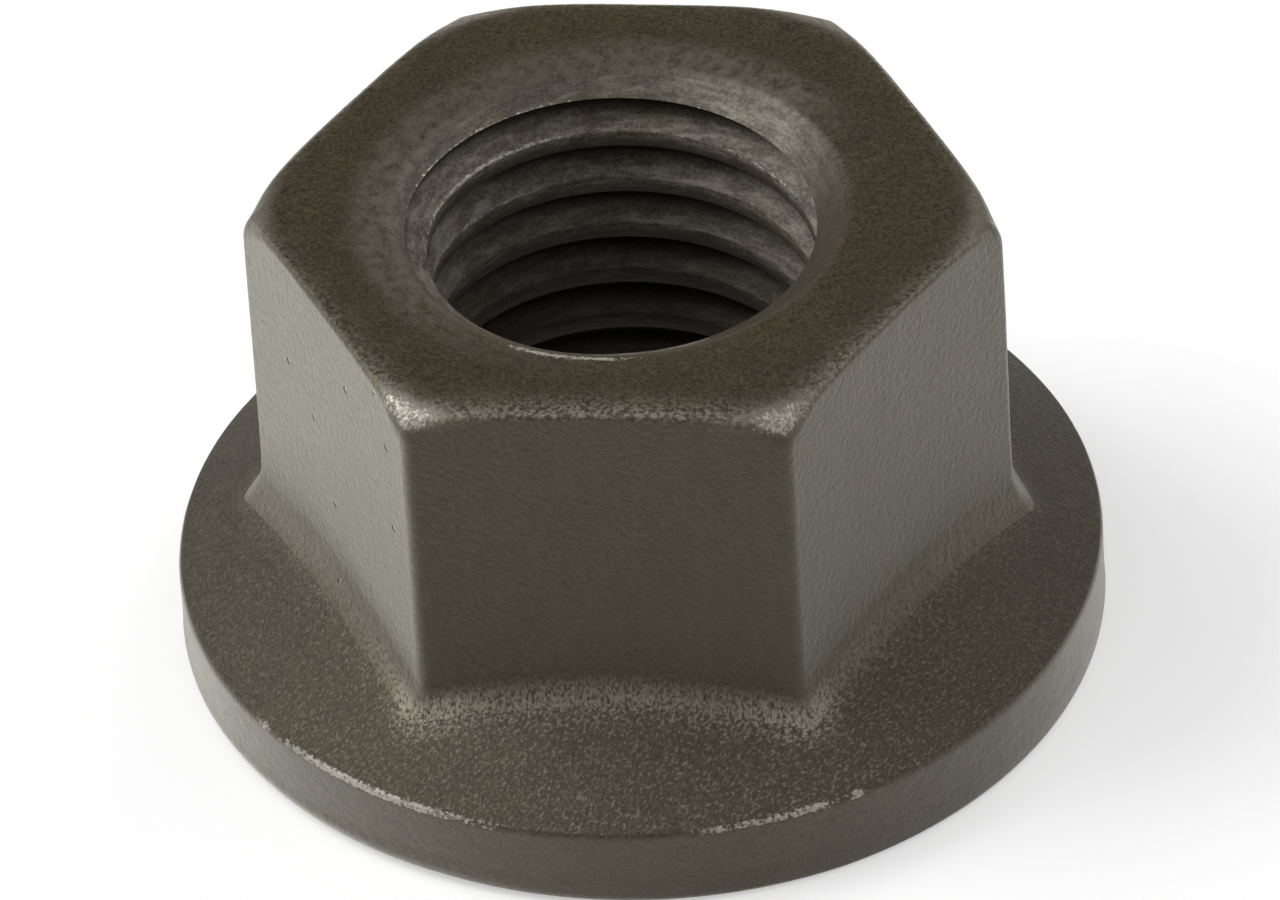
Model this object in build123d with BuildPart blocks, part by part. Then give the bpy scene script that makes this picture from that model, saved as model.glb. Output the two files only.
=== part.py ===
"""Serrated flange nut, 3/4-10 UNC with 1-1/8 in flats: one forged and tapped steel piece.

The nut stands on its serrated bearing face. The origin is on the thread axis in the
plane of that face, +Z runs up the axis, and one flat of the hexagon faces -Y.
Lengths are in millimetres and angles in degrees.
"""

import os
from math import atan2, cos, degrees, radians, sin, tan

from build123d import *

# Hexagon
across_flats = 28.575
nut_height = 22.2
corner_radius = 0.7
crown_diameter = 29.4
crown_angle = 25
crown_edge_radius = 0.4

# Flange
flange_diameter = 40.4
rim_height = 3.85
flange_slope = 30
rim_edge_chamfer = 0.3
foot_edge_chamfer = 0.5
root_fillet = 1.5

# Tapped bore, at the crests of the 3/4-10 thread, with its two conical mouths
minor_diameter = 16.84
mouth_diameter = 20.6
mouth_angle = 110
foot_mouth_diameter = 22.1
foot_mouth_angle = 120

# Serrations in the bearing face: how deep they are at their outer ends, and the share
# of each tooth's pitch that its ramp takes from the face
serration_count = 30
serration_depth = 0.55
serration_diameter = 37.6
serration_share = 0.75

# What a cutter runs past the surface that it cuts, as a length and as an angle
overrun = 1.0
overrun_angle = 1.0


def mouth_depth(outer_diameter, full_angle):
    """Depth of a conical mouth that narrows to the bore."""
    return (outer_diameter - minor_diameter) / 2 / tan(radians(full_angle / 2))


# One gap between two teeth: a slice of pie from the axis out to the serrations' edge. Its
# first side, along +X, is the tooth's steep wall, and its lid is one flat ramp that comes
# down to the bearing face at gap_angle, so that the nut slides when it is turned
# clockwise and bites when it is turned back.
gap_radius = serration_diameter / 2
gap_angle = serration_share * 360 / serration_count
gap_width = gap_radius * sin(radians(gap_angle))
ramp_angle = degrees(atan2(serration_depth, gap_width))
slice_angle = radians(gap_angle + overrun_angle)

with BuildPart() as serration_gap:
    with BuildSketch(Plane.XY.offset(-overrun)):
        with BuildLine():
            Polyline(
                (0, 0),
                (gap_radius, 0),
                (gap_radius * cos(slice_angle), gap_radius * sin(slice_angle)),
                close=True,
            )
        make_face()
    extrude(amount=overrun + serration_depth)
    ramp = Plane.XY.rotated((-ramp_angle, 0, 0)).rotated((0, 0, gap_angle))
    split(bisect_by=ramp, keep=Keep.BOTTOM)


with BuildPart() as flange_nut:
    # Hexagon bar with rounded corners
    with BuildSketch() as hexagon:
        RegularPolygon(across_flats / 2, 6, major_radius=False)
        fillet(hexagon.vertices(), corner_radius)
    extrude(amount=nut_height)

    # Crown: a shallow cone that only takes the corners
    crown_reach = across_flats - crown_diameter / 2
    crown_fall = crown_reach * tan(radians(crown_angle))
    with BuildSketch(Plane.XZ) as crown_cut:
        with BuildLine():
            Polyline(
                (crown_diameter / 2, nut_height),
                (across_flats, nut_height),
                (across_flats, nut_height - crown_fall),
                close=True,
            )
        make_face()
    revolve(axis=Axis.Z, mode=Mode.SUBTRACT)
    fillet(flange_nut.faces().sort_by(Axis.Z)[-1].edges(), crown_edge_radius)

    # Flange: an upright rim under a cone that runs up into the hexagon
    cone_rise = tan(radians(flange_slope))
    cone_top = rim_height + flange_diameter / 2 * cone_rise
    with BuildSketch(Plane.XZ) as flange_profile:
        with BuildLine():
            Polyline(
                (0, 0),
                (flange_diameter / 2, 0),
                (flange_diameter / 2, rim_height),
                (0, cone_top),
                close=True,
            )
        make_face()
        rim_ends = flange_profile.vertices().group_by(Axis.X)[-1].sort_by(Axis.Y)
        chamfer(rim_ends[0], foot_edge_chamfer)
        rim_ends = flange_profile.vertices().group_by(Axis.X)[-1].sort_by(Axis.Y)
        chamfer(rim_ends[-1], rim_edge_chamfer)
    revolve(axis=Axis.Z)

    # Root: the walls run out into the cone in one hollow fillet, on the edges that lie
    # between the cone's height at the rim and its height just inside a flat
    root_low = rim_height + rim_edge_chamfer
    root_high = cone_top - (across_flats / 2 - corner_radius) * cone_rise
    root_edges = (
        flange_nut.edges()
        .filter_by(GeomType.LINE, reverse=True)
        .filter_by_position(Axis.Z, root_low, root_high, inclusive=(False, False))
    )
    fillet(root_edges, root_fillet)

    # Bore at the thread's minor diameter, with a conical mouth at each end
    with BuildSketch(Plane.XZ) as bore_profile:
        with BuildLine():
            Polyline(
                (0, 0),
                (foot_mouth_diameter / 2, 0),
                (minor_diameter / 2, mouth_depth(foot_mouth_diameter, foot_mouth_angle)),
                (minor_diameter / 2, nut_height - mouth_depth(mouth_diameter, mouth_angle)),
                (mouth_diameter / 2, nut_height),
                (0, nut_height),
                close=True,
            )
        make_face()
    revolve(axis=Axis.Z, mode=Mode.SUBTRACT)

    # Serrations in the bearing face
    with PolarLocations(0, serration_count):
        add(serration_gap.part, mode=Mode.SUBTRACT)

os.makedirs("parts", exist_ok=True)
flange_nut.part.label = "flange_nut"
export_step(flange_nut.part, "parts/flange_nut.step")
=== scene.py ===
"""Looks of the serrated flange nut: a forged and tapped nut with a dark phosphate finish.

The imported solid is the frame. One closed surface of the whole nut stands for it, with its
worn corners, its helical thread and its serrations. The rest is finish, floor and light.
Everything is in metres, in the frame of the solid.
"""

import math

import bpy
import numpy as np
from mathutils import Matrix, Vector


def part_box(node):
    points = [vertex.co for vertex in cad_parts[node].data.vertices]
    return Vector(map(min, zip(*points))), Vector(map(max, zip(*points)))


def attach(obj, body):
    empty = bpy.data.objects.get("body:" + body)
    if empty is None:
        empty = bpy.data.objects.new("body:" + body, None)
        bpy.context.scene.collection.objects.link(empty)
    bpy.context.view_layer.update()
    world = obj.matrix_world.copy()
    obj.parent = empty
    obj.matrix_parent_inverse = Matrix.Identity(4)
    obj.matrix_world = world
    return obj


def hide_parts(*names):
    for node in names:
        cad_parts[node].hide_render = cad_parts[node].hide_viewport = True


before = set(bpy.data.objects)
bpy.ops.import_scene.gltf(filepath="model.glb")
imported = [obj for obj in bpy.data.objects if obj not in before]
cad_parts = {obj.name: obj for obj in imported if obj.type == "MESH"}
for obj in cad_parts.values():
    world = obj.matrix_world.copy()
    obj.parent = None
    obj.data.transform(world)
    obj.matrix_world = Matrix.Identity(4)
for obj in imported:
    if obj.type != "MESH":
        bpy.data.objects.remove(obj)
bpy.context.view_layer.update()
nut_low, nut_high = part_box("flange_nut")

MM = 0.001

# ---------------------------------------------------------------- sizes

# Hexagon: one flat faces -Y, so the corners are at 0, 60, 120 ... degrees
nut_height = nut_high.z
across_flats = 28.575 * MM
apothem = across_flats / 2
corner_radius = 0.55 * MM
crown_radius = 14.68 * MM
crown_slope = 0.357
crown_curve = 0.083 / MM
crown_softness = 0.5 * MM
top_edge_radius = 0.2 * MM
tip_spread = math.radians(4.5)

# Rounding of the crown's corners and of the rim's foot: degrees, and a radius in mm
tip_radii = (
    (0, 1.0), (40, 0.9), (60, 0.35), (120, 0.35), (140, 0.9), (180, 1.0), (240, 0.75), (300, 0.75),
)
foot_radii = (0, 0.45), (180, 0.6), (220, 0.92), (250, 0.85), (275, 0.5), (300, 0.25), (335, 0.35)

# Flange
flange_radius = nut_high.x
rim_height = 3.85 * MM
flange_slope = math.tan(math.radians(30))
rim_edge_radius = 0.2 * MM
root_radius = 1.45 * MM

# Top mouth: a shallow dish, and inside it a chamfer that meets the thread
dish_radius = 11.5 * MM
dish_slope = 0.12
dish_softness = 0.5 * MM
chamfer_radius = 9.95 * MM
chamfer_slope = 0.6
chamfer_softness = 0.12 * MM

# Foot mouth
foot_mouth_radius = 11.05 * MM
foot_mouth_slope = math.tan(math.radians(30))
foot_mouth_softness = 0.35 * MM

# Thread
thread_pitch = 2.54 * MM
thread_start = 21.45 * MM
crest_radius = 8.42 * MM
groove_radius = 9.53 * MM
lip_radius = 9.65 * MM

# Serrations in the bearing face
serration_count = 30
serration_depth = 0.55 * MM
serration_radius = 18.8 * MM
serration_share = 0.75

# Grid: columns round the axis. Each tooth has the same number, and so has each flat.
columns = 540
columns_per_tooth = columns // serration_count
columns_per_flat = columns // 6
column_gather = 0.75
toothed_from = 10.7 * MM
wall_share = 0.008

# Grid: rows, from the foot's lip round the outside to the top's lip. From the last row of
# the brow to the face's circle they turn from the hexagon's outline into circles.
beside_ring = 0.01 * MM
bearing_radii = np.array([
    lip_radius, 10.0 * MM, 10.35 * MM, toothed_from, foot_mouth_radius, 11.5 * MM, 12.6 * MM,
    14.0 * MM, 15.6 * MM, 17.2 * MM, 18.4 * MM, serration_radius - beside_ring,
    serration_radius + beside_ring, 19.2 * MM,
])
rim_foot_angles = np.linspace(0, math.pi / 2, 6)
rim_heights = np.array([1.1, 1.7, 2.3, 2.9, 3.3, 3.55, 3.7]) * MM
rim_insets = np.array([0.0, 0.08, 0.17, 0.3, 0.5]) * MM
rim_turn_shares = np.linspace(0.1, 1, len(rim_heights))
cone_shares = np.linspace(0, 1, 9)[1:]
root_spread = 0.54
root_shares = np.array([0.75, 0.5, 0.25, 0.0])
root_rises = np.array([0.25, 0.5, 0.75, 1.0, 1.3]) * MM
flat_shares = np.linspace(0, 1, 11)[1:]
flat_end = 0.9 * MM
brow_drops = np.array([0.6, 0.4, 0.25, 0.12, 0.0]) * MM
brow_insets = np.array([0.12, 0.25, 0.4, 0.6, 0.85, 1.15, 1.5]) * MM
fringe = 0.2 * MM
face_circle = 12.4 * MM
face_shares = np.array([0.25, 0.5, 0.75, 1.0])
dish_radii = np.array([
    12.0 * MM, 11.6 * MM, 11.2 * MM, 10.8 * MM, 10.4 * MM, 10.15 * MM, 10.05 * MM,
    chamfer_radius, 9.85 * MM, lip_radius,
])
lip_shares = np.linspace(0, 1, 6)[:, None]

# Fine scales on which a mouth's profile is read backwards, and its lip is looked for
mouth_scale = np.linspace(13 * MM, 8 * MM, 2000)
lip_scale_steps = 400

# Finishes, in the order of the material slots
BEARING, RIM, FLANGE, FLATS, TOP, THREAD = range(6)

# Unevenness that the forging has, and how points are brought on to its surface
lattice_cells = 32
wave_height, wave_size, wave_seed = 0.04 * MM, 5.5 * MM, 3
scale_height, scale_size, scale_seed = 0.02 * MM, 1.3 * MM, 5
settle_steps = 5
settle_probe = 0.002 * MM
least_slope = 1e-12

# The dish is turned after forging, so it lies level at the mean of the unevenness
dish_level = nut_height - (wave_height + scale_height) / 2
near_lip = 0.03 * MM
weld_size = 1e-5 * MM
sharp_angle = math.radians(38)


# ---------------------------------------------------------------- shape

def smooth_noise(x, y, z, size, seed):
    """Value noise from 0 to 1: random numbers on a repeating cubic lattice of the given
    size, blended between the eight nearest by smoothstep weights."""
    lattice = np.random.default_rng(seed).random((lattice_cells,) * 3)
    places = np.stack(np.broadcast_arrays(x, y, z)) / size
    cells = np.floor(places).astype(int)
    parts = places - cells
    parts = parts * parts * (3 - 2 * parts)
    total = 0.0
    for corner in range(8):
        steps = np.array([corner & 1, corner >> 1 & 1, corner >> 2 & 1])
        steps = steps.reshape((3,) + (1,) * (cells.ndim - 1))
        weight = np.prod(np.where(steps == 1, parts, 1 - parts), axis=0)
        total = total + weight * lattice[tuple((cells + steps) % lattice_cells)]
    return total


def smooth_step(low, high, value):
    """0 below low, 1 above high, and a smooth rise between them."""
    share = np.clip((value - low) / (high - low), 0, 1)
    return share * share * (3 - 2 * share)


def off_normal(turn):
    """Angle from the normal of the nearest flat."""
    return (turn + math.pi / 2 + math.pi / 6) % (math.pi / 3) - math.pi / 6


def hexagon_distance(turn, radius):
    """Distance outside the rounded hexagon: past a flat it is the height over the flat,
    and past a corner it is the distance from the corner's centre less its radius."""
    angle = off_normal(turn)
    along = radius * np.cos(angle)
    aside = np.abs(radius * np.sin(angle))
    inner = apothem - corner_radius
    half_flat = inner * math.tan(math.pi / 6)
    corner = np.hypot(along - inner, aside - half_flat) - corner_radius
    return np.where(aside > half_flat, corner, along - apothem)


def hexagon_reach(turn):
    """Radius of the rounded hexagon: the flat's apothem over the cosine of the angle from
    its normal, or at a corner where the ray leaves the arc round the corner's centre."""
    angle = off_normal(turn)
    off_corner = math.pi / 6 - np.abs(angle)
    centre = (apothem - corner_radius) / math.cos(math.pi / 6)
    aside = np.minimum(centre * np.sin(off_corner), corner_radius)
    arc = centre * np.cos(off_corner) + np.sqrt(corner_radius**2 - aside**2)
    half_flat = (apothem - corner_radius) * math.tan(math.pi / 6)
    on_arc = apothem * np.tan(np.abs(angle)) > half_flat
    return np.where(on_arc, arc, apothem / np.cos(angle))


def round_the_axis(turn, *stations):
    """Values round the axis, blended between stations given as degrees and a value."""
    degrees, values = np.array(stations, float).T
    return np.interp(np.degrees(turn) % 360, degrees % 360, values, period=360)


def foot_rounding(turn):
    """Radius of the rim's rounded foot, which is worn unevenly round the nut."""
    return MM * round_the_axis(turn, *foot_radii)


def brow_rounding(turn):
    """Radius of the crown's outer edge: small along the flats and large at the corners,
    which are worn unevenly."""
    tip = np.exp(-(((math.pi / 6 - np.abs(off_normal(turn))) / tip_spread) ** 2))
    rounded = MM * round_the_axis(turn, *tip_radii)
    return top_edge_radius + (rounded - top_edge_radius) * tip


def crown_height(radius):
    """Height of the top face: level, then falling past the crown's circle by its slope
    and a share of the square. A root over the square and a softness rounds the bend."""
    past = radius - crown_radius
    past = (past + np.sqrt(past**2 + crown_softness**2)) / 2
    return nut_height - crown_slope * past - crown_curve * past**2


def cone_height(radius):
    """Height of the flange's coned top, which falls in a straight line to the rim."""
    return rim_height + (flange_radius - radius) * flange_slope


def round_inside(a, b, radius):
    """Where two forms meet in an outer edge: the larger of their distances, with the
    edge rounded by an arc of the radius."""
    corner = np.hypot(np.maximum(a + radius, 0), np.maximum(b + radius, 0))
    return np.minimum(-radius, np.maximum(a, b)) + corner


def round_outside(a, b, radius):
    """Where two forms meet in an inner edge: the smaller of their distances, with the
    edge filled by an arc of the radius."""
    corner = np.hypot(np.maximum(radius - a, 0), np.maximum(radius - b, 0))
    return np.maximum(radius, np.minimum(a, b)) - corner


def forging_distance(turn, radius, height):
    """Distance outside the forging: the hexagon under its crown, joined by the root
    fillet to the flange under its cone, less the hollows of a gentle unevenness."""
    x, y = radius * np.cos(turn), radius * np.sin(turn)
    hexagon = round_inside(
        hexagon_distance(turn, radius), height - crown_height(radius), brow_rounding(turn)
    )
    flange = round_inside(
        radius - flange_radius,
        (height - cone_height(radius)) * math.cos(math.atan(flange_slope)),
        rim_edge_radius,
    )
    wave = wave_height * smooth_noise(x, y, height, wave_size, wave_seed)
    scale = scale_height * smooth_noise(x, y, height, scale_size, scale_seed)
    return round_outside(hexagon, flange, root_radius) + wave + scale


def settle(turn, radius, height):
    """Moves points in their radial plane on to the forging's surface: each step goes down
    the slope of the distance by the distance."""
    for _ in range(settle_steps):
        here = forging_distance(turn, radius, height)
        out = forging_distance(turn, radius + settle_probe, height) - here
        up = forging_distance(turn, radius, height + settle_probe) - here
        size = np.maximum((out**2 + up**2) / settle_probe, least_slope)
        radius, height = radius - here * out / size, height - here * up / size
    return radius, height


def soft_ramp(inside, softness):
    """Nothing outside an edge and the distance inside it, with a root that rounds it."""
    return (inside + np.hypot(inside, softness)) / 2


def top_fall(radius):
    """How far the top mouth falls below its face at a radius: the dish's slope inside the
    dish's edge, and the chamfer's slope on top of it inside the chamfer's edge."""
    dish = dish_slope * soft_ramp(dish_radius - radius, dish_softness)
    return dish + chamfer_slope * soft_ramp(chamfer_radius - radius, chamfer_softness)


def foot_fall(radius):
    """How far the foot's mouth rises above the bearing face at a radius."""
    return foot_mouth_slope * soft_ramp(foot_mouth_radius - radius, foot_mouth_softness)


def mouth_reach(fall, profile):
    """Radius of a mouth at a fall: its profile's inverse, read from a fine scale."""
    return np.interp(fall, profile(mouth_scale), mouth_scale)


# Thread's section over one pitch, going down from the upper edge of a crest: the share of
# the pitch, and how far the surface is from the crest towards the groove's floor
thread_section = np.array([
    (0.02, 0.00), (0.27, 0.00), (0.31, 0.04), (0.52, 0.92),
    (0.57, 1.00), (0.71, 1.00), (0.77, 0.92), (0.98, 0.04),
])


def thread_radius(turn, height):
    """Radius of the threaded wall: the section is read at the pitches that a point lies
    below the start, plus the share of a turn, because the helix climbs with the turn."""
    below = (thread_start - height) / thread_pitch + turn / (2 * math.pi)
    share = np.interp(below % 1.0, thread_section[:, 0], thread_section[:, 1], period=1.0)
    return crest_radius + (groove_radius - crest_radius) * share


def wall_radius(turn, height):
    """Radius of the bore: the largest of the thread's and the two mouths' at a height."""
    top = mouth_reach(dish_level - height, top_fall)
    foot = mouth_reach(height, foot_fall)
    return np.maximum(thread_radius(turn, height), np.maximum(top, foot))


def lip_height(turn, top):
    """Height where a mouth's cone first meets the thread, found on a fine scale of
    heights from the mouth inwards, for the top mouth or for the foot's."""
    profile = top_fall if top else foot_fall
    fall = np.linspace(profile(lip_radius), profile(crest_radius), lip_scale_steps)
    height = dish_level - fall if top else fall
    meets = thread_radius(turn[:, None], height[None, :]) >= mouth_reach(fall, profile)[None, :]
    first = np.where(meets.any(axis=1), meets.argmax(axis=1), len(fall) - 1)
    return height[first]


def serration_height(turn, radius):
    """Height of the bearing face: over the first share of each tooth's pitch it is a flat
    ramp that falls to zero, one sine times the radius, and beyond the ring it is zero."""
    pitch = 2 * math.pi / serration_count
    ramp = serration_share * pitch
    left = ramp - turn % pitch
    rise = serration_depth / (serration_radius * math.sin(ramp))
    inside = (left > 0) & (radius < serration_radius)
    return np.where(inside, radius * np.sin(left) * rise, 0.0)


def column_turns():
    """Angles of the columns in three spacings: even, with two columns at each tooth's
    steep wall, and drawn together at the hexagon's corners by a sine."""
    index = np.arange(columns)
    even = index * 2 * math.pi / columns

    pitch = 2 * math.pi / serration_count
    wall = wall_share * pitch
    ramp_columns = round(columns_per_tooth * serration_share)
    marks = np.concatenate([
        [0.0],
        np.linspace(wall, serration_share * pitch, ramp_columns),
        np.linspace(serration_share * pitch, pitch, columns_per_tooth - ramp_columns + 1)[1:-1],
    ])
    toothed = (index // columns_per_tooth) * pitch + marks[index % columns_per_tooth]

    share = index % columns_per_flat / columns_per_flat
    drawn = share - column_gather * np.sin(2 * math.pi * share) / (2 * math.pi)
    cornered = (index // columns_per_flat + drawn) * math.pi / 3
    return even, toothed, cornered


def outer_rows(even, toothed, cornered):
    """The nut from the serrated face round the rim, up the cone and the flats, and over
    the top to the bore. Each row is a radius and a height along every column: a line of
    plain corners first, which is then settled on the forging's rounded surface."""
    turns, radii, heights, finishes = [], [], [], []

    def row(finish, turn, radius, height):
        """Adds a row, with each value spread over all the columns."""
        turns.append(turn + 0 * radius)
        radii.append(radius + 0 * turn)
        heights.append(height + 0 * turn)
        finishes.append(finish)

    # Foot mouth and bearing face
    for radius in bearing_radii:
        share = smooth_step(lip_radius, toothed_from, radius)
        turn = (1 - share) * even + share * toothed
        row(BEARING, turn, radius, np.maximum(foot_fall(radius), serration_height(turn, radius)))
    # Rounded foot of the rim
    rounding = foot_rounding(toothed)
    for angle in rim_foot_angles:
        radius = flange_radius - rounding * (1 - math.sin(angle))
        row(RIM, toothed, radius, rounding * (1 - math.cos(angle)))
    foot_rows = len(turns)

    # Rim, where the columns move over to the hexagon's spacing
    for share, height in zip(rim_turn_shares, rim_heights):
        row(RIM, (1 - share) * toothed + share * cornered, flange_radius, height)
    turn = cornered
    reach = hexagon_reach(turn)
    for inset in rim_insets:
        row(FLANGE if inset > 0 else RIM, turn, flange_radius - inset, cone_height(flange_radius - inset))
    # Cone in even steps, then the root fillet
    cone_edge = flange_radius - rim_insets[-1]
    foot_of_root = reach + root_spread * root_radius
    for share in cone_shares:
        radius = (1 - share) * cone_edge + share * foot_of_root
        row(FLANGE if share < 1 else FLATS, turn, radius, cone_height(radius))
    for share in root_shares:
        radius = reach + (foot_of_root - reach) * share
        row(FLATS, turn, radius, cone_height(radius))
    shoulder = cone_height(reach)
    for rise in root_rises:
        row(FLATS, turn, reach, shoulder + rise)
    # Flat, then over its top edge
    brow = crown_height(reach)
    for share in flat_shares:
        row(FLATS, turn, reach, (1 - share) * (shoulder + root_rises[-1]) + share * (brow - flat_end))
    for drop in brow_drops:
        row(FLATS, turn, reach, brow - drop)
    for inset in brow_insets:
        finish = FLATS if inset < fringe else TOP
        row(finish, turn, reach - inset, crown_height(reach - inset))
    settled = slice(foot_rows, len(turns))
    radii[settled], heights[settled] = map(
        list, settle(np.array(turns[settled]), np.array(radii[settled]), np.array(heights[settled]))
    )

    # Top face, drawn from the hexagon's outline to a circle, and the mouth's dish
    last_radius, last_height = radii[-1], heights[-1]
    for share in face_shares:
        turn = (1 - share) * cornered + share * even
        radius = (1 - share) * last_radius + share * face_circle
        level = dish_level - top_fall(face_circle)
        row(TOP, turn, radius, (1 - share) * last_height + share * level)
    for radius in dish_radii:
        row(TOP, even, radius, dish_level - top_fall(radius))
    return np.array(turns), np.array(radii), np.array(heights), np.array(finishes)


def bore_rows(turn):
    """The threaded wall. Its rows follow the helix: every row lies at a fixed place of the
    thread's section, so that it climbs one pitch a turn, and it stops at the lips, where
    the rows that run out lie on each other."""
    top_lip, foot_lip = lip_height(turn, top=True), lip_height(turn, top=False)
    pitches = math.ceil(nut_height / thread_pitch) + 2
    below = (np.arange(-1, pitches)[:, None] + thread_section[None, :, 0]).ravel()
    height = thread_start + thread_pitch * (turn[None, :] / (2 * math.pi) - below[:, None])
    height = np.where(height > top_lip - near_lip, top_lip, height)
    height = np.where(height < foot_lip + near_lip, foot_lip, height)
    return wall_radius(turn[None, :], height), height, top_lip, foot_lip


def nut_mesh():
    """The whole nut as one closed surface. The outer rows, both cones and the threaded wall are grids of
    four-sided faces. At the end of a turn the wall's rows join those one pitch further up. Points that lie
    on each other are welded afterwards by weld, which also drops faces that have shrunk to an edge or a
    point."""
    even, toothed, cornered = column_turns()
    turns, radii, heights, finishes = outer_rows(even, toothed, cornered)
    wall, wall_height, top_lip, foot_lip = bore_rows(even)

    def mouth_rows(start, end):
        """Rows on a mouth's cone, in even steps between two heights."""
        height = (1 - lip_shares) * start + lip_shares * end
        return wall_radius(even[None, :], height), height

    top_cone, top_height = mouth_rows(heights[-1], top_lip)
    foot_cone, foot_height = mouth_rows(foot_lip, heights[0])
    top_cone[0] = lip_radius
    foot_cone[-1] = lip_radius

    def grid(turn, radius, height):
        """Points from their turns, radii and heights."""
        turn = np.broadcast_to(turn, radius.shape)
        return np.stack([radius * np.cos(turn), radius * np.sin(turn), height], axis=-1)

    grids = [
        (grid(turns, radii, heights), 0, finishes[:-1]),
        (grid(even, top_cone, top_height), 0, THREAD),
        (grid(even, wall, wall_height), len(thread_section), THREAD),
        (grid(even, foot_cone, foot_height), 0, BEARING),
    ]
    points, faces, kinds, count = [], [], [], 0
    for places, shift, finish in grids:
        rows = len(places)
        index = count + np.arange(rows * columns).reshape(rows, columns)
        count += rows * columns
        onward = np.roll(index, -1, axis=1)
        onward[:, -1] = index[np.maximum(np.arange(rows) - shift, 0), 0]
        quads = np.stack([index[:-1], onward[:-1], onward[1:], index[1:]], axis=-1)
        points.append(places.reshape(-1, 3))
        faces.append(quads.reshape(-1, 4))
        kinds.append(np.repeat(np.broadcast_to(finish, rows - 1), columns))
    return np.concatenate(points), np.concatenate(faces), np.concatenate(kinds)


def weld(points, faces, kinds):
    """Joins points that agree to a hundredth of a micron, and sorts the faces into those
    with four and with three different corners. The others have no area and are dropped."""
    keys = np.round(points / weld_size).astype(np.int64)
    _, first, place = np.unique(keys, axis=0, return_index=True, return_inverse=True)
    faces = place.reshape(-1)[faces]
    joined = faces == np.roll(faces, -1, axis=1)
    crossed = (faces[:, 0] == faces[:, 2]) | (faces[:, 1] == faces[:, 3])
    four = ~crossed & (joined.sum(axis=1) == 0)
    three = ~crossed & (joined.sum(axis=1) == 1)
    start = np.argmax(joined[three], axis=1)
    ring = (start[:, None] + 1 + np.arange(3)) % 4
    triangles = np.take_along_axis(faces[three], ring, axis=1)
    return points[first], faces[four], triangles, kinds[four], kinds[three]


# ---------------------------------------------------------------- wear and painted light, point by point

# Wear, and painted light and shade, round the axis: degrees, and a share from 0 to 1, or for widths and
# middles a length in millimetres
brow_widths = (240, 1.0), (270, 1.15), (300, 1.0), (330, 0.75), (30, 0.5), (150, 0.5), (210, 0.75)
brow_wear = (
    (240, 1.0), (300, 1.0), (330, 0.6), (30, 0.4), (150, 0.4), (200, 0.45), (222, 0.6), (232, 0.95),
)
facet_wear = (
    (226, 0.2), (235, 0.9), (238, 1.0), (242.5, 1.0), (246, 0.5), (252, 0.12), (288, 0.12),
    (294, 0.5), (298, 1.0), (302, 1.0), (308, 0.6), (315, 0.2), (0, 0.35), (180, 0.35),
)
upright_wear = (225, 0.3), (238, 1.0), (250, 0.6), (290, 0.3), (180, 0.3)
pitted_flat = (178, 0), (182, 1), (236, 1), (239, 0)
rim_edge_wear = (
    (190, 0.25), (218, 0.45), (221, 0.95), (222.5, 0.5), (226, 0.85), (232, 1.0), (246, 1.0),
    (250, 0.9), (259, 0.62), (262, 0.42), (278, 0.42), (283, 0.85), (297, 0.95), (300, 0.6),
    (302, 1.0), (304, 0.55), (330, 0.4), (350, 0.3),
)
root_middles = (230, 0.45), (242, 0.7), (298, 0.7), (310, 0.45)
root_wear = (
    (190, 0.25), (225, 0.28), (234, 0.5), (238, 1.0), (243, 1.0), (252, 0.55), (290, 0.55),
    (298, 1.0), (302, 0.9), (306, 0.35), (320, 0.22), (0, 0.15), (150, 0.15),
)
# Painted light on the flange: how strong its painted glints and its painted lighter front are
painted_glint_shares = (0, 0.25), (180, 0.15), (215, 0.6), (235, 1), (300, 1), (335, 0.4)
lip_wear = (
    (20, 0.5), (45, 0.85), (65, 0.8), (90, 0.45), (110, 0.9), (160, 1.0), (190, 0.5), (300, 0.2),
)
burr_wear = (
    (236, 0), (244, 0.6), (250, 0.95), (256, 1), (268, 1), (276, 0.85), (284, 0.35), (300, 0),
)
chamfer_tones = (
    (0, 0.1), (25, 0.3), (45, 1.0), (62, 1.0), (80, 0.6), (105, 0.45), (140, 0.55), (190, 0.5),
    (240, 0.2), (330, 0.05),
)
# Dish: paler, partly its own turned colour and partly painted light, from the back right round to the
# left, and not at the right and front
dish_paleness_and_painted_light = (
    (0, 0.0), (30, 0.12), (50, 1.0), (80, 0.8), (110, 0.6), (150, 0.7), (185, 0.9), (215, 0.7),
    (240, 0.3), (270, 0.0), (330, 0.0),
)
crest_wear = (
    (20, 0.3), (45, 0.9), (75, 0.6), (100, 0.55), (125, 1.0), (165, 1.0), (200, 0.4), (300, 0.2),
)

# How far each kind of wear and of painted shade reaches: across an edge, or from where to where
brow_depth = 0.16 * MM
facet_outset = 0.1 * MM, 0.75 * MM
facet_drop = -0.6 * MM, -0.15 * MM
upright_width, upright_depth = 0.3 * MM, 0.4 * MM
upright_drop = 0.2 * MM, 0.9 * MM
rim_edge_width, rim_edge_gain = 0.28 * MM, 1.4
root_width = 0.62 * MM
root_rise = 1.15 * MM, 0.45 * MM
lip_width, lip_outset = 0.15 * MM, 0.35 * MM
burr_radius, burr_width = 10.18 * MM, 0.27 * MM
chamfer_drop = -0.08 * MM, 0
dish_reach = 12.1 * MM, 10.9 * MM
crest_heights = 14 * MM, 19 * MM
# Painted shade in the bore: none above the first height, full below the second
painted_shade_heights = 19.5 * MM, 9 * MM
near_face = 0.1 * MM


def hump(distance, width):
    """1 at zero distance, and down to a third at the width, as a bell curve."""
    return np.exp(-((distance / width) ** 2))


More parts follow.
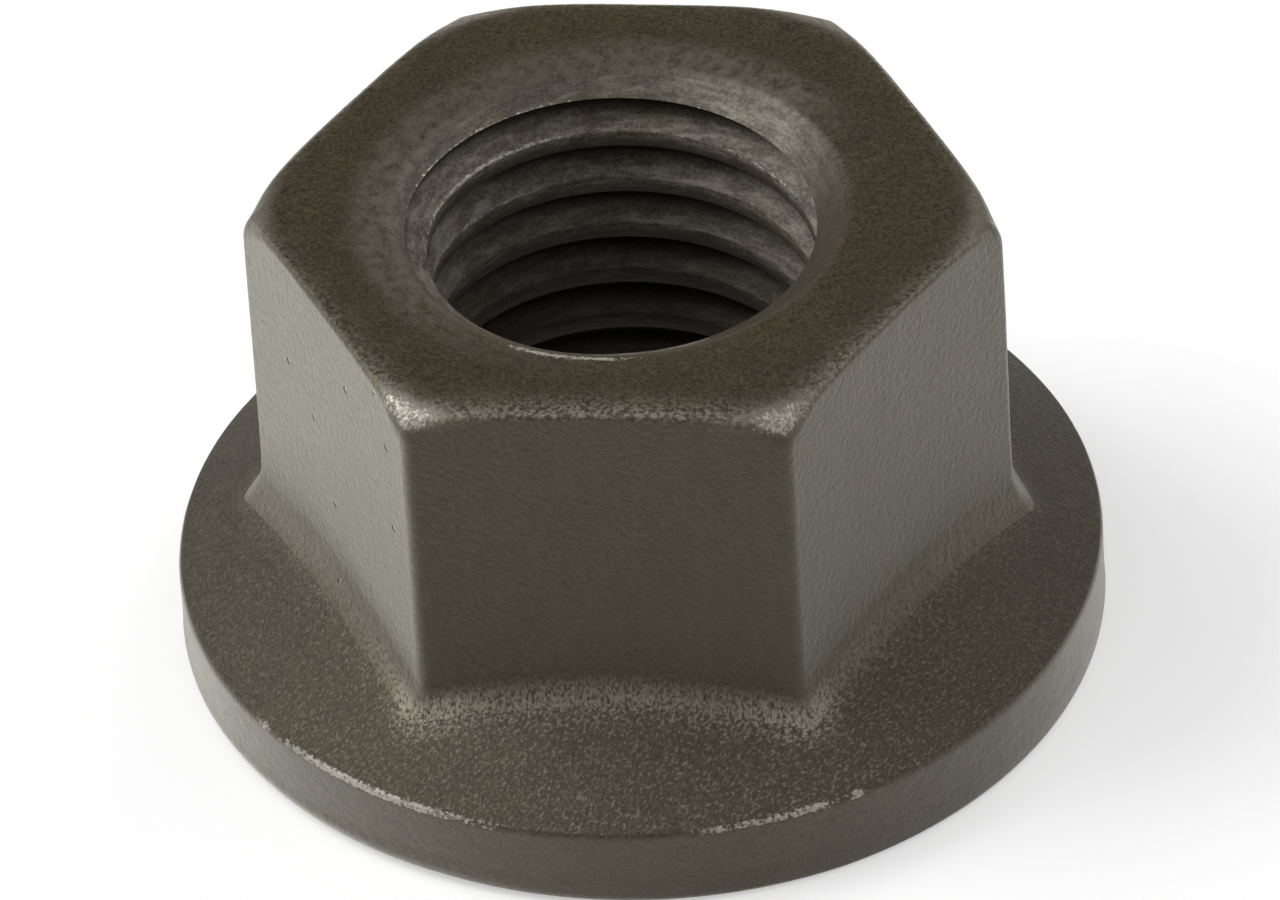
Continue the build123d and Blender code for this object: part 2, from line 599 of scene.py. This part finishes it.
def hexagon_masks(turn, radius, height):
    """Wear of the hexagon: a band on both sides of the brow, the facets where the crown
    takes the corners, and the upright corners. Also which flat has pits."""
    flat = hexagon_distance(turn, radius)
    crown = height - crown_height(radius)
    outside = radius > face_circle - near_face

    band = round_the_axis(turn, *brow_widths) * MM
    brow = hump(np.maximum(-flat, 0), band) * hump(np.minimum(crown, 0), brow_depth) * outside
    facet = smooth_step(*(crown_radius + outset for outset in facet_outset), radius)
    facet = facet * smooth_step(*facet_drop, crown) * outside
    off_corner = (math.pi / 6 - np.abs(off_normal(turn))) * radius
    edge = hump(off_corner, upright_width) * hump(flat, upright_depth) * smooth_step(*upright_drop, -crown)
    return {
        "brow": brow * round_the_axis(turn, *brow_wear),
        "facet": facet * round_the_axis(turn, *facet_wear),
        "upright": edge * outside * round_the_axis(turn, *upright_wear),
        "pitted": round_the_axis(turn, *pitted_flat),
    }


def flange_masks(turn, radius, height):
    """Wear of the flange: the rim's upper edge, and a band along the root's fillet. Also how strong the
    painted glints on the cone's grains and its painted lighter front are."""
    flat = hexagon_distance(turn, radius)
    cone = height - cone_height(radius)
    rim_edge = hump(np.maximum(flange_radius - radius, np.abs(cone)), rim_edge_width)
    rim_edge = np.minimum(rim_edge_gain * rim_edge, 1)
    middle = round_the_axis(turn, *root_middles) * MM
    root = hump(flat - middle, root_width) * smooth_step(*root_rise, cone)
    return {
        "rim_edge": rim_edge * round_the_axis(turn, *rim_edge_wear),
        "root": root * round_the_axis(turn, *root_wear),
        # painted glints and painted lighter front
        "painted_glint_and_light": round_the_axis(turn, *painted_glint_shares),
    }


def mouth_masks(turn, radius, height):
    """Wear of the top mouth and the thread: the lip, with a burr on the dish in front, and the crests near
    the top. Also where the chamfer and the dish lie and how pale they are, the dish's paleness partly
    painted light, and how far down the bore a point is, for painted shade there."""
    even = column_turns()[0]
    top_lip = np.interp(turn % (2 * math.pi), even, lip_height(even, top=True), period=2 * math.pi)
    upper = height > nut_height / 2
    bored = smooth_step(lip_radius + lip_outset, lip_radius, radius) * upper
    lip = hump(height - top_lip, lip_width) * bored * round_the_axis(turn, *lip_wear)
    burr = hump(radius - burr_radius, burr_width) * upper * round_the_axis(turn, *burr_wear)
    dish = smooth_step(*dish_reach, radius) * upper
    return {
        "lip": np.maximum(lip, burr),
        "chamfer": smooth_step(*chamfer_drop, height - top_lip) * bored,
        "chamfer_tone": round_the_axis(turn, *chamfer_tones),
        # paler dish, partly painted light
        "dish": dish * round_the_axis(turn, *dish_paleness_and_painted_light),
        "crest_wear": smooth_step(*crest_heights, height) * round_the_axis(turn, *crest_wear),
        # painted shade, deeper down the bore
        "depth": smooth_step(*painted_shade_heights, height),
    }


def wear_masks(points):
    """Where the finish is worn or lies differently, and where light and shade are painted: for each cause,
    one value from 0 to 1 a point, from its distances to the flats, the crown, the cone and the lip."""
    x, y, height = points.T
    place = np.arctan2(y, x), np.hypot(x, y), height
    return {**hexagon_masks(*place), **flange_masks(*place), **mouth_masks(*place)}


def nut_piece(materials):
    """The nut's surface as a Blender mesh, with its masks of wear and of painted light and shade, and its
    finishes.
    """
    points, quads, triangles, quad_kinds, triangle_kinds = weld(*nut_mesh())
    mesh = bpy.data.meshes.new("flange_nut_surface")
    mesh.from_pydata(points, [], quads.tolist() + triangles.tolist())
    for name, values in wear_masks(points).items():
        layer = mesh.attributes.new(name, "FLOAT", "POINT")
        layer.data.foreach_set("value", values.astype(np.float32))
    for material in materials:
        mesh.materials.append(material)
    kinds = np.concatenate([quad_kinds, triangle_kinds]).astype(np.int32)
    mesh.polygons.foreach_set("material_index", kinds)
    mesh.polygons.foreach_set("use_smooth", np.ones(len(kinds), bool))
    mesh.set_sharp_from_angle(angle=sharp_angle)
    mesh.validate()
    piece = bpy.data.objects.new("flange_nut_surface", mesh)
    bpy.context.scene.collection.objects.link(piece)
    return piece


# ---------------------------------------------------------------- finish: nodes

def add_node(tree, kind, inputs=None, **settings):
    """A shader node with its settings, and with its inputs set to values or joined to
    other nodes' outputs. Returns the node."""
    node = tree.nodes.new(kind)
    for name, value in settings.items():
        setattr(node, name, value)
    for name, value in (inputs or {}).items():
        if isinstance(value, bpy.types.NodeSocket):
            tree.links.new(value, node.inputs[name])
        else:
            node.inputs[name].default_value = value
    return node


def maths(tree, operation, *values, clamp=False):
    """The output of a Math node on numbers or sockets."""
    inputs = dict(enumerate(values))
    return add_node(tree, "ShaderNodeMath", inputs, operation=operation, use_clamp=clamp).outputs[0]


def times(tree, first, *others):
    """The product of several values."""
    for other in others:
        first = maths(tree, "MULTIPLY", first, other)
    return first


def largest(tree, first, *others):
    """The largest of several values."""
    for other in others:
        first = maths(tree, "MAXIMUM", first, other)
    return first


def vector_maths(tree, operation, first, second):
    """The output of a Vector Math node on two vectors."""
    inputs = {0: first, 1: second}
    return add_node(tree, "ShaderNodeVectorMath", inputs, operation=operation).outputs[0]


def noise(tree, vector, scale, detail=2.0, roughness=0.5):
    """The value of a noise texture, with the scale in features a millimetre."""
    inputs = {"Vector": vector, "Scale": scale, "Detail": detail, "Roughness": roughness}
    return add_node(tree, "ShaderNodeTexNoise", inputs).outputs["Fac"]


def ramp(tree, value, low, high):
    """0 below low and 1 above high, with a smooth rise. The other way round if low is
    above high."""
    inputs = {"Value": value, "From Min": min(low, high), "From Max": max(low, high)}
    if low > high:
        inputs.update({"To Min": 1.0, "To Max": 0.0})
    return add_node(tree, "ShaderNodeMapRange", inputs, interpolation_type="SMOOTHSTEP").outputs[0]


def mix(tree, share, first, second, blend_type="MIX"):
    """Two colours mixed by a share: the Mix node has its colours in sockets 6 and 7, and
    gives a colour in its output 2."""
    inputs = {0: share, 6: first, 7: second}
    node = add_node(tree, "ShaderNodeMix", inputs, data_type="RGBA", blend_type=blend_type)
    return node.outputs[2]


def grey(tree, value):
    """A value as a colour."""
    return add_node(tree, "ShaderNodeCombineColor", {0: value, 1: value, 2: value}).outputs[0]


def mask(tree, name, strength=1.0):
    """One of the mesh's wear masks, times a strength."""
    value = add_node(tree, "ShaderNodeAttribute", attribute_name=name).outputs["Fac"]
    return times(tree, value, strength)


def masks(tree, **strengths):
    """Several of the mesh's wear masks, each times its strength."""
    return [mask(tree, name, strength) for name, strength in strengths.items()]


def millimetres(tree):
    """Object coordinates in millimetres."""
    place = add_node(tree, "ShaderNodeTexCoord").outputs["Object"]
    return vector_maths(tree, "MULTIPLY", place, (1 / MM, 1 / MM, 1 / MM))


def bump(tree, height, depth):
    """The normal of a relief of the given depth in millimetres."""
    return add_node(tree, "ShaderNodeBump", {"Height": height, "Distance": depth * MM}).outputs[0]


def new_group(name, inputs, outputs):
    """An empty node group with named sockets. Returns the group, the sockets that come in,
    and those that go out."""
    group = bpy.data.node_groups.new(name, "ShaderNodeTree")
    for socket, kind in inputs.items():
        group.interface.new_socket(socket, in_out="INPUT", socket_type="NodeSocket" + kind)
    for socket, kind in outputs.items():
        group.interface.new_socket(socket, in_out="OUTPUT", socket_type="NodeSocket" + kind)
    way_in = group.nodes.new("NodeGroupInput")
    way_out = group.nodes.new("NodeGroupOutput")
    return group, way_in.outputs, way_out.inputs


def use_group(tree, group, **inputs):
    """Places a node group in a tree and returns its outputs."""
    return add_node(tree, "ShaderNodeGroup", inputs, node_tree=group).outputs


def grain_group():
    """Sandy grain in features of a size: fine noise on noise three times coarser."""
    coarse_share, fine_share = 0.6, 0.4
    group, given, out = new_group(
        "sandy_grain", {"Vector": "Vector", "Size": "Float"}, {"Height": "Float"}
    )
    place = vector_maths(group, "DIVIDE", given["Vector"], grey(group, given["Size"]))
    fine = noise(group, place, scale=1.0, detail=2.0, roughness=0.6)
    coarse = noise(group, place, scale=0.33, detail=1.0)
    height = maths(group, "ADD", times(group, coarse, coarse_share), times(group, fine, fine_share))
    group.links.new(height, out["Height"])
    return group


def tone_group():
    """Two tones in soft patches a few millimetres wide, with a fine shake on top."""
    group, given, out = new_group(
        "mottled_tone",
        {"Vector": "Vector", "First": "Color", "Second": "Color", "Shake": "Float"},
        {"Color": "Color"},
    )
    wide = noise(group, given["Vector"], scale=0.5, detail=4.0, roughness=0.65)
    toned = mix(group, ramp(group, wide, low=0.36, high=0.64), given["First"], given["Second"])
    fine = noise(group, given["Vector"], scale=6.5, detail=2.0, roughness=0.6)
    swing = maths(group, "MULTIPLY_ADD", ramp(group, fine, low=0.36, high=0.64), 2.0, -1.0)
    shaken = maths(group, "MULTIPLY_ADD", swing, given["Shake"], 1.0)
    group.links.new(mix(group, 1.0, toned, grey(group, shaken), "MULTIPLY"), out["Color"])
    return group


def worn_group():
    """Wear down to the steel: the mask lowers the height that a noise has to pass, so that
    the wear is whole where the mask is full and breaks into specks at its sides."""
    unworn_height, wear_drop, steepness = 0.98, 0.66, 6.0
    group, given, out = new_group(
        "worn_through", {"Vector": "Vector", "Wear": "Float", "Size": "Float"}, {"Mask": "Float"}
    )
    place = vector_maths(group, "DIVIDE", given["Vector"], grey(group, given["Size"]))
    specks = noise(group, place, scale=1.0, detail=3.0, roughness=0.7)
    cut = maths(group, "SUBTRACT", unworn_height, times(group, given["Wear"], wear_drop))
    over = maths(group, "MULTIPLY", maths(group, "SUBTRACT", specks, cut), steepness, clamp=True)
    group.links.new(over, out["Mask"])
    return group


def fleck_group():
    """A band that is broken up into flecks a fifth of a millimetre across."""
    group, given, out = new_group("fleck_band", {"Vector": "Vector", "Band": "Float"}, {"Mask": "Float"})
    parts = noise(group, given["Vector"], scale=5.0, detail=3.0, roughness=0.7)
    flecked = times(group, given["Band"], ramp(group, parts, low=0.40, high=0.62))
    group.links.new(flecked, out["Mask"])
    return group


# ---------------------------------------------------------------- finish: materials

# Gloss and sheen of each finish, each with its tint
finish_gloss = {
    "bearing": (0.45, (1, 0.90, 0.68, 1)),
    "rim": (0.44, (1, 0.84, 0.52, 1)),
    "flange": (0.45, (1, 0.92, 0.68, 1)),
    "flats": (0.38, (1, 0.74, 0.36, 1)),
    "top": (0.50, (1, 0.94, 0.80, 1)),
    "thread": (0.32, (1, 0.91, 0.78, 1)),
}
no_sheen = (0.0, (1, 1, 1, 1))
finish_sheen = {
    "rim": (1.0, (1, 0.98, 0.88, 1)),
    "flats": (0.92, (1, 0.985, 0.86, 1)),
    "top": (0.12, (1, 0.80, 0.50, 1)),
}
sheen_roughness = 0.5

# Roughness of the coat, what its relief adds, and what bare steel takes away
plain_roughness = 0.33
roughness_swing = 0.2
steel_polish = 0.08

# Tones of the coat: two that lie in patches, and the share by which they shake
coat_tones = {
    "bearing": ((0.044, 0.036, 0.023, 1), (0.033, 0.029, 0.019, 1), 0.40),
    "rim": ((0.036, 0.028, 0.018, 1), (0.027, 0.023, 0.015, 1), 0.60),
    "flange": ((0.036, 0.027, 0.018, 1), (0.028, 0.023, 0.015, 1), 0.55),
    "flats": ((0.018, 0.0095, 0.0035, 1), (0.0075, 0.0080, 0.0025, 1), 0.80),
    "top": ((0.034, 0.0245, 0.013, 1), (0.025, 0.0195, 0.010, 1), 0.50),
    "thread": ((0.135, 0.124, 0.094, 1), (0.108, 0.090, 0.080, 1), 0.35),
}
bare_steel = (0.60, 0.575, 0.51, 1)
bare_metallic = 0.45

groups = {"grain": grain_group(), "tone": tone_group(), "worn": worn_group(), "flecks": fleck_group()}


def new_finish(name):
    """A material with one Principled shader that has the finish's gloss and sheen.
    Returns the material, its node tree, its coordinates and the shader."""
    material = bpy.data.materials.new("phosphated_" + name)
    material.use_nodes = True
    tree = material.node_tree
    tree.nodes.clear()
    gloss, gloss_tint = finish_gloss[name]
    sheen, sheen_tint = finish_sheen.get(name, no_sheen)
    shader = add_node(tree, "ShaderNodeBsdfPrincipled", {
        "Specular IOR Level": gloss, "Specular Tint": gloss_tint,
        "Sheen Weight": sheen, "Sheen Tint": sheen_tint, "Sheen Roughness": sheen_roughness,
    })
    add_node(tree, "ShaderNodeOutputMaterial", {"Surface": shader.outputs[0]})
    return material, tree, millimetres(tree), shader


def coat(tree, place, name):
    """The colour of a finish where its coat is whole."""
    first, second, shake = coat_tones[name]
    return use_group(tree, groups["tone"], Vector=place, First=first, Second=second, Shake=shake)["Color"]


def grain(tree, place, size):
    """The height of sandy grain in features of a size in millimetres."""
    return use_group(tree, groups["grain"], Vector=place, Size=size)["Height"]


def flecks(tree, place, band):
    """A band's mask, broken up into flecks."""
    return use_group(tree, groups["flecks"], Vector=place, Band=band)["Mask"]


def worn_through(tree, place, wear, size):
    """Where wear reaches the steel, in specks of a size in millimetres."""
    return use_group(tree, groups["worn"], Vector=place, Wear=wear, Size=size)["Mask"]


def dress(tree, shader, colour, bare, steel, relief, depth):
    """Joins a finish to its shader: the coat's colour, with a share of steel where it is
    bare, and a relief of a depth in millimetres."""
    bare = times(tree, bare, steel)
    raised = ramp(tree, relief, low=0.3, high=0.7)
    even = maths(tree, "MULTIPLY_ADD", raised, roughness_swing, plain_roughness)
    inputs = {
        "Base Color": mix(tree, bare, colour, bare_steel),
        "Metallic": times(tree, bare, bare_metallic),
        "Roughness": maths(tree, "MULTIPLY_ADD", bare, -steel_polish, even),
        "Normal": bump(tree, relief, depth),
    }
    for name, value in inputs.items():
        tree.links.new(value, shader.inputs[name])


def top_finish():
    """Crown, top face and dish: brown, with bright flecks along the brow, steel with dark pits on the
    facets, and a paler dish, partly its own colour and partly painted light."""
    # Paler dish, partly painted light
    dish_grey_and_painted_light = (0.088, 0.080, 0.062, 1)
    brow_grey = (0.18, 0.165, 0.133, 1)
    facet_grey, facet_share = (0.26, 0.245, 0.205, 1), 0.55
    least_wear = 0.27

    material, tree, place, shader = new_finish("top")
    patches = noise(tree, place, scale=1.6, detail=5.0, roughness=0.75)
    # Paler dish, partly painted light, in patches
    paleness_and_painted_light = times(tree, mask(tree, "dish"), ramp(tree, patches, low=0.3, high=0.62))
    colour = mix(tree, paleness_and_painted_light, coat(tree, place, "top"), dish_grey_and_painted_light)
    colour = mix(tree, flecks(tree, place, mask(tree, "brow")), colour, brow_grey)
    colour = mix(tree, mask(tree, "facet", facet_share), colour, facet_grey)

    wear = largest(tree, *masks(tree, brow=0.6, facet=0.82, lip=1.05), least_wear)
    bare = worn_through(tree, place, wear, size=0.15)
    dress(tree, shader, colour, bare, steel=0.65, relief=grain(tree, place, size=0.12), depth=0.045)
    return material


def flats_finish():
    """Hexagon's sides and root: smooth and sheeny, with fine sand, faint upright streaks,
    a few dark pits, fine marks along the root, and the edges worn."""
    sand_grey, sand_share = (0.052, 0.044, 0.032, 1), 0.5
    streak_grey, streak_share = (0.050, 0.045, 0.035, 1), 0.35
    root_grey = (0.36, 0.33, 0.27, 1)
    edge_grey, upright_share = (0.16, 0.15, 0.122, 1), 0.7
    facet_grey, facet_share = (0.22, 0.207, 0.172, 1), 0.4
    pit_black = (0.004, 0.004, 0.003, 1)
    upright_stretch, root_stretch = (1, 1, 0.12), (1, 0.6, 0.6)
    pit_relief, root_relief = 2.0, 0.35

    material, tree, place, shader = new_finish("flats")
    sand = ramp(tree, noise(tree, place, scale=6.0, detail=3.0, roughness=0.75), low=0.45, high=0.68)
    colour = mix(tree, times(tree, sand, sand_share), coat(tree, place, "flats"), sand_grey)
    drawn_up = vector_maths(tree, "MULTIPLY", place, upright_stretch)
    streaks = ramp(tree, noise(tree, drawn_up, scale=2.2, detail=4.0, roughness=0.6), low=0.48, high=0.75)
    colour = mix(tree, times(tree, streaks, streak_share), colour, streak_grey)
    drawn_out = vector_maths(tree, "MULTIPLY", place, root_stretch)
    marks = ramp(tree, noise(tree, drawn_out, scale=8.0, detail=3.0, roughness=0.7), low=0.34, high=0.62)
    marks = times(tree, mask(tree, "root"), marks)
    colour = mix(tree, marks, colour, root_grey)
    edge = largest(tree, mask(tree, "upright", upright_share), flecks(tree, place, mask(tree, "brow")))
    colour = mix(tree, edge, colour, edge_grey)
    colour = mix(tree, mask(tree, "facet", facet_share), colour, facet_grey)

    cells = add_node(tree, "ShaderNodeTexVoronoi", {"Vector": place, "Scale": 0.5})
    pits = times(tree, ramp(tree, cells.outputs["Distance"], low=0.10, high=0.03), mask(tree, "pitted"))
    colour = mix(tree, pits, colour, pit_black)

    wear = largest(tree, *masks(tree, brow=0.6, facet=0.9, upright=0.62, root=0.6))
    bare = worn_through(tree, place, wear, size=0.15)
    relief = maths(tree, "SUBTRACT", grain(tree, place, size=0.10), times(tree, pits, pit_relief))
    relief = maths(tree, "ADD", relief, times(tree, marks, root_relief))
    dress(tree, shader, colour, bare, steel=0.65, relief=relief, depth=0.06)
    return material


def flange_finish():
    """Flange's cone: sandy, with grains drawn out one way and painted glints on them, most in front, a
    front painted lighter, and worn along the root and the rim's edge."""
    # Painted light: a lighter front, and pale grains as painted glints
    painted_lit_front_brown, painted_lit_front_share = (0.072, 0.058, 0.043, 1), 0.3
    painted_glint_grey, painted_glint_swing, painted_glint_least = (0.175, 0.157, 0.124, 1), 0.75, 0.2
    root_grey = (0.34, 0.31, 0.255, 1)
    grain_turn, grain_stretch = math.radians(35), (1, 0.5, 1)
    fine_relief = 0.7

    material, tree, place, shader = new_finish("flange")
    # Painted lighter front
    colour = mix(tree, mask(tree, "painted_glint_and_light", painted_lit_front_share), coat(tree, place, "flange"), painted_lit_front_brown)
    turned = add_node(
        tree, "ShaderNodeVectorRotate", {"Vector": place, "Angle": grain_turn}, rotation_type="Z_AXIS"
    ).outputs[0]
    drawn = vector_maths(tree, "MULTIPLY", turned, grain_stretch)
    grains = noise(tree, drawn, scale=8.0, detail=3.0, roughness=0.7)
    # Painted glints: pale grains, most in front
    painted_glint_and_light = maths(tree, "MULTIPLY_ADD", mask(tree, "painted_glint_and_light"), painted_glint_swing, painted_glint_least)
    colour = mix(tree, times(tree, ramp(tree, grains, low=0.50, high=0.68), painted_glint_and_light), colour, painted_glint_grey)
    pale = times(tree, mask(tree, "root"), ramp(tree, grains, low=0.40, high=0.66))
    colour = mix(tree, pale, colour, root_grey)

    wear = largest(tree, *masks(tree, rim_edge=1.0, root=0.5))
    bare = worn_through(tree, place, wear, size=0.18)
    relief = maths(tree, "ADD", grains, times(tree, grain(tree, place, size=0.2), fine_relief))
    dress(tree, shader, colour, bare, steel=0.7, relief=relief, depth=0.075)
    return material


def rim_finish():
    """Rim: smooth, and worn bright along stretches of its upper edge."""
    material, tree, place, shader = new_finish("rim")
    bare = worn_through(tree, place, mask(tree, "rim_edge"), size=0.18)
    relief = grain(tree, place, size=0.14)
    dress(tree, shader, coat(tree, place, "rim"), bare, steel=0.7, relief=relief, depth=0.035)
    return material


def thread_finish():
    """Thread and its lead-in: grey flanks with turning marks, painted shade on the crests, in the grooves
    and deeper down the bore, and the crests' upper edges worn bright. The place on the section is read as
    in the shape: it is 0 at the upper edge of a crest, and grows downwards."""
    turned_grey, turned_share = (0.30, 0.285, 0.235, 1), 0.7
    turned_brown, brown_share = (0.055, 0.044, 0.034, 1), 0.6
    lead_in_brown = (0.040, 0.033, 0.022, 1)
    # Painted shade on the crests and in the grooves
    crest_shade_brown, crest_shade_share = (0.045, 0.034, 0.026, 1), 0.75
    groove_shade_brown, groove_shade_share = (0.028, 0.023, 0.017, 1), 0.85
    # Painted shade deeper down the bore
    painted_shade_brown, painted_shade_share = (0.010, 0.008, 0.006, 1), 0.8
    turning_stretch = (0.18, 0.18, 1)
    edge_strength, lip_strength = 0.95, 0.85

    material, tree, place, shader = new_finish("thread")
    apart = add_node(tree, "ShaderNodeSeparateXYZ", {0: place}).outputs
    turned = times(tree, maths(tree, "ARCTAN2", apart[1], apart[0]), 1 / (2 * math.pi))
    below = maths(tree, "MULTIPLY_ADD", apart[2], -MM / thread_pitch, thread_start / thread_pitch)
    share = maths(tree, "FRACT", maths(tree, "ADD", below, turned))
    off_edge = maths(tree, "PINGPONG", share, 0.5)
    whole = maths(tree, "SUBTRACT", 1.0, mask(tree, "chamfer"))
    # Where the crests and the grooves lie, for their painted shade
    crest = times(tree, ramp(tree, share, low=0.04, high=0.27), ramp(tree, share, low=0.36, high=0.30))
    groove = times(tree, ramp(tree, share, low=0.28, high=0.34), ramp(tree, share, low=0.86, high=0.68))
    edge = times(tree, ramp(tree, off_edge, low=0.075, high=0.01), mask(tree, "crest_wear"), whole)

    drawn = vector_maths(tree, "MULTIPLY", place, turning_stretch)
    turning = noise(tree, drawn, scale=4.5, detail=4.0, roughness=0.7)
    light_marks = times(tree, ramp(tree, turning, low=0.45, high=0.70), turned_share)
    dark_marks = times(tree, ramp(tree, turning, low=0.48, high=0.34), brown_share)
    colour = mix(tree, light_marks, coat(tree, place, "thread"), turned_grey)
    colour = mix(tree, dark_marks, colour, turned_brown)
    off_tone = maths(tree, "SUBTRACT", 1.0, mask(tree, "chamfer_tone"))
    colour = mix(tree, times(tree, mask(tree, "chamfer"), off_tone), colour, lead_in_brown)
    # Painted shade on the crests and in the grooves
    colour = mix(tree, times(tree, crest, whole, crest_shade_share), colour, crest_shade_brown)
    colour = mix(tree, times(tree, groove, whole, groove_shade_share), colour, groove_shade_brown)
    # Painted shade, darker deeper down the bore
    colour = mix(tree, mask(tree, "depth", painted_shade_share), colour, painted_shade_brown)

    wear = largest(tree, times(tree, edge, edge_strength), mask(tree, "lip", lip_strength))
    bare = worn_through(tree, place, wear, size=0.2)
    relief = maths(tree, "ADD", grain(tree, place, size=0.13), turning)
    dress(tree, shader, colour, bare, steel=0.8, relief=relief, depth=0.05)
    return material


def bearing_finish():
    """Bearing face with its serrations: as the flange, but smooth."""
    even_wear = 0.3

    material, tree, place, shader = new_finish("bearing")
    bare = worn_through(tree, place, even_wear, size=0.3)
    relief = grain(tree, place, size=0.14)
    dress(tree, shader, coat(tree, place, "bearing"), bare, steel=0.3, relief=relief, depth=0.03)
    return material


# ---------------------------------------------------------------- floor, light and camera

paper_tone = 0.58
paper_glow = 0.47
floor_reach = 1.6
wall_top = 0.3
floor_drop = 0.02 * MM
floor_corners = (-1, -1), (1, -1), (1, 1), (-1, 1)
sky_light = 0.02

# Each lamp: the direction it comes from, as degrees from +X and up, and its power
lamp_distance = 1.0
lamp_size = 0.7
lamps = {
    "left_softbox": (175, 45, 8.8),
    "right_softbox": (5, 30, 1.7),
    "back_softbox": (45, 40, 2.8),
    "front_left_softbox": (220, 40, 1.2),
    "front_right_softbox": (320, 40, 1.0),
    "over_softbox": (270, 80, 1.6),
}


def stage_piece(name, points, faces, material):
    """A flat piece of the set, which isn't part of the nut."""
    mesh = bpy.data.meshes.new(name)
    mesh.from_pydata(points, [], faces)
    mesh.materials.append(material)
    piece = bpy.data.objects.new(name, mesh)
    bpy.context.scene.collection.objects.link(piece)


def paper_material():
    """White paper: it takes light and shadow, glows a little to what looks at it or
    mirrors it, and can be seen through from behind."""
    material = bpy.data.materials.new("white_paper")
    material.use_nodes = True
    tree = material.node_tree
    tree.nodes.clear()
    path = add_node(tree, "ShaderNodeLightPath").outputs
    looked_at = largest(tree, path["Is Camera Ray"], path["Is Glossy Ray"], path["Is Transmission Ray"])
    paper = add_node(tree, "ShaderNodeBsdfDiffuse", {"Color": (paper_tone, paper_tone, paper_tone, 1)})
    light = add_node(tree, "ShaderNodeEmission", {"Strength": times(tree, looked_at, paper_glow)})
    front = add_node(tree, "ShaderNodeAddShader", {0: paper.outputs[0], 1: light.outputs[0]})
    clear = add_node(tree, "ShaderNodeBsdfTransparent")
    back = add_node(tree, "ShaderNodeNewGeometry").outputs["Backfacing"]
    surface = add_node(tree, "ShaderNodeMixShader", {0: back, 1: front.outputs[0], 2: clear.outputs[0]})
    add_node(tree, "ShaderNodeOutputMaterial", {"Surface": surface.outputs[0]})
    return material


def softbox(name, turn, rise, power):
    """A square soft light that faces the nut and isn't seen itself."""
    lamp = bpy.data.lights.new(name, "AREA")
    lamp.size = lamp_size
    lamp.energy = power
    piece = bpy.data.objects.new(name, lamp)
    turn, rise = math.radians(turn), math.radians(rise)
    level = lamp_distance * math.cos(rise)
    piece.location = level * math.cos(turn), level * math.sin(turn), lamp_distance * math.sin(rise)
    piece.rotation_mode = "QUATERNION"
    piece.rotation_quaternion = (-piece.location).to_track_quat("-Z", "Y")
    piece.visible_camera = False
    bpy.context.scene.collection.objects.link(piece)


def white_sky():
    """A world that is white to look at and gives hardly any light."""
    world = bpy.data.worlds.new("white_sky")
    world.use_nodes = True
    tree = world.node_tree
    looked_at = add_node(tree, "ShaderNodeLightPath").outputs["Is Camera Ray"]
    strength = largest(tree, looked_at, sky_light)
    tree.nodes["Background"].inputs["Color"].default_value = (1, 1, 1, 1)
    tree.links.new(strength, tree.nodes["Background"].inputs["Strength"])
    bpy.context.scene.world = world


def set_stage():
    """A white floor with a low white wall round it, the sky and the lamps."""
    paper = paper_material()
    corners = [(x * floor_reach, y * floor_reach, -floor_drop) for x, y in floor_corners]
    raised = [(x, y, wall_top) for x, y, _ in corners]
    sides = len(corners)
    walls = [
        (side, side + sides, (side + 1) % sides + sides, (side + 1) % sides) for side in range(sides)
    ]
    stage_piece("floor", corners, [(0, 1, 2, 3)], paper)
    stage_piece("wall", corners + raised, walls, paper)
    white_sky()
    for name, (turn, rise, power) in lamps.items():
        softbox(name, turn, rise, power)


# Camera: where it stands from the axis, how its picture is shifted, and its lens
camera_turn, camera_rise = math.radians(6.709), math.radians(39.975)
camera_tilt = -0.0621
camera_distance = 684.97 * MM
target_aside, target_above = 0.2146 * MM, 6.6283 * MM
camera_lens, camera_film = 439.9, 36.0
camera_near, camera_far = 0.05, 10


def set_camera():
    """A long lens that looks down at the nut from in front, with a slight tilt."""
    level = math.cos(camera_rise)
    back = np.array([math.sin(camera_turn) * level, -math.cos(camera_turn) * level, math.sin(camera_rise)])
    right = np.array([math.cos(camera_turn), math.sin(camera_turn), 0.0])
    up = np.cross(back, right)
    place = back * camera_distance
    target = right * target_aside + up * target_above
    behind = (place - target) / np.linalg.norm(place - target)
    across = math.cos(camera_tilt) * right + math.sin(camera_tilt) * up
    across = across - behind * (across @ behind)
    across = across / np.linalg.norm(across)
    turned = np.eye(4)
    turned[:3] = np.stack([across, np.cross(behind, across), behind, place], axis=1)
    camera = bpy.data.cameras.new("camera")
    camera.sensor_width = camera_film
    camera.lens = camera_lens
    camera.clip_start, camera.clip_end = camera_near, camera_far
    piece = bpy.data.objects.new("camera", camera)
    piece.matrix_world = Matrix(turned.tolist())
    bpy.context.scene.collection.objects.link(piece)
    bpy.context.scene.camera = piece


# ---------------------------------------------------------------- scene

finishes = bearing_finish, rim_finish, flange_finish, flats_finish, top_finish, thread_finish
nut = nut_piece([finish() for finish in finishes])
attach(nut, "root")
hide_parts("flange_nut")

set_stage()
set_camera()
bpy.context.scene.view_settings.view_transform = "Standard"
